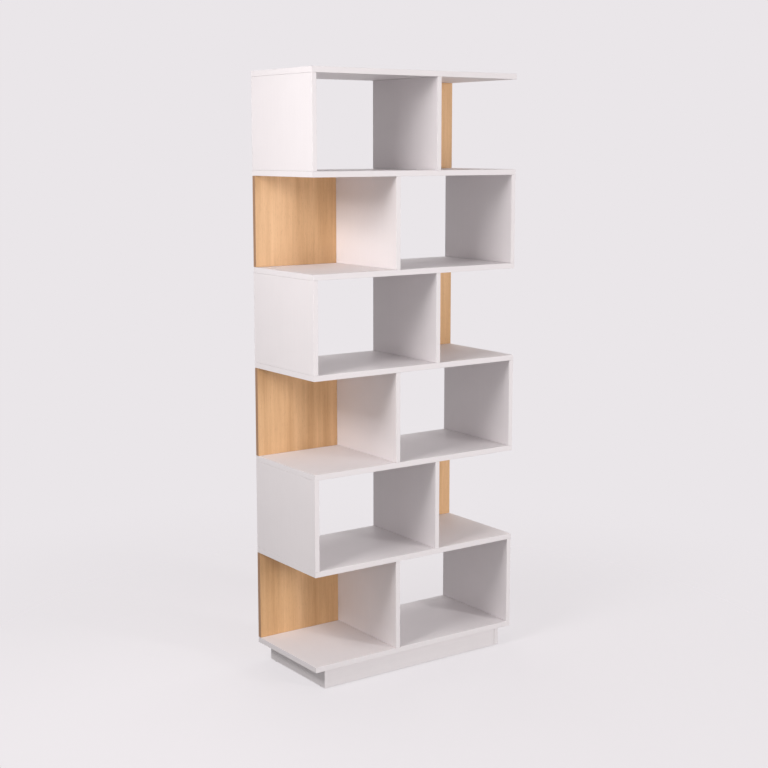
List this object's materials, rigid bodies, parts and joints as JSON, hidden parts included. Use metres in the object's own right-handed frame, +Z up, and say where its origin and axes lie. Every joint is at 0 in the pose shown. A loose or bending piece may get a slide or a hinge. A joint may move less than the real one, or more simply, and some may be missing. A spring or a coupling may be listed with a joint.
{
  "type": "zigzag bookshelf",
  "caption": "Tall free-standing zigzag bookshelf: full-width shelves, uprights that swap sides tier by tier, oak backs behind the open-ended bays, and an inset plinth.",
  "frame": {"origin": "on the floor, under the middle of the shelves' width and depth", "axes": "+X to the right along the shelves as seen from the front, +Y from the front edge to the back edge, +Z up"},
  "size_m": [0.8, 0.36, 1.956],
  "materials": {
    "white_board": "white satin lacquer on board",
    "oak_veneer": "satin natural oak veneer, grain upright",
    "beech_tongue": "bare planed beech",
    "glide_plastic": "moulded grey plastic on a steel nail"
  },
  "bodies": {
    "root": {"shelf_1": "white_board", "shelf_2": "white_board", "shelf_3": "white_board", "shelf_4": "white_board", "shelf_5": "white_board", "shelf_6": "white_board", "shelf_7": "white_board", "end_panel_1": "white_board", "divider_1": "white_board", "end_panel_2": "white_board", "divider_2": "white_board", "end_panel_3": "white_board", "divider_3": "white_board", "end_panel_4": "white_board", "divider_4": "white_board", "end_panel_5": "white_board", "divider_5": "white_board", "end_panel_6": "white_board", "divider_6": "white_board", "plinth_left": "white_board", "plinth_right": "white_board", "plinth_front": "white_board", "plinth_back": "white_board", "plinth_rail": "white_board", "oak_back_1": "oak_veneer", "oak_back_2": "oak_veneer", "oak_back_3": "oak_veneer", "oak_back_4": "oak_veneer", "oak_back_5": "oak_veneer", "oak_back_6": "oak_veneer", "end_tongue_lower_1": "beech_tongue", "divider_tongue_lower_1": "beech_tongue", "end_tongue_upper_1": "beech_tongue", "divider_tongue_upper_1": "beech_tongue", "end_tongue_lower_2": "beech_tongue", "divider_tongue_lower_2": "beech_tongue", "end_tongue_upper_2": "beech_tongue", "divider_tongue_upper_2": "beech_tongue", "end_tongue_lower_3": "beech_tongue", "divider_tongue_lower_3": "beech_tongue", "end_tongue_upper_3": "beech_tongue", "divider_tongue_upper_3": "beech_tongue", "end_tongue_lower_4": "beech_tongue", "divider_tongue_lower_4": "beech_tongue", "end_tongue_upper_4": "beech_tongue", "divider_tongue_upper_4": "beech_tongue", "end_tongue_lower_5": "beech_tongue", "divider_tongue_lower_5": "beech_tongue", "end_tongue_upper_5": "beech_tongue", "divider_tongue_upper_5": "beech_tongue", "end_tongue_lower_6": "beech_tongue", "divider_tongue_lower_6": "beech_tongue", "end_tongue_upper_6": "beech_tongue", "divider_tongue_upper_6": "beech_tongue", "plinth_tongue_front": "beech_tongue", "plinth_tongue_back": "beech_tongue", "glide_front_left": "glide_plastic", "glide_front_right": "glide_plastic", "glide_back_left": "glide_plastic", "glide_back_right": "glide_plastic"}
  },
  "joints": []
}
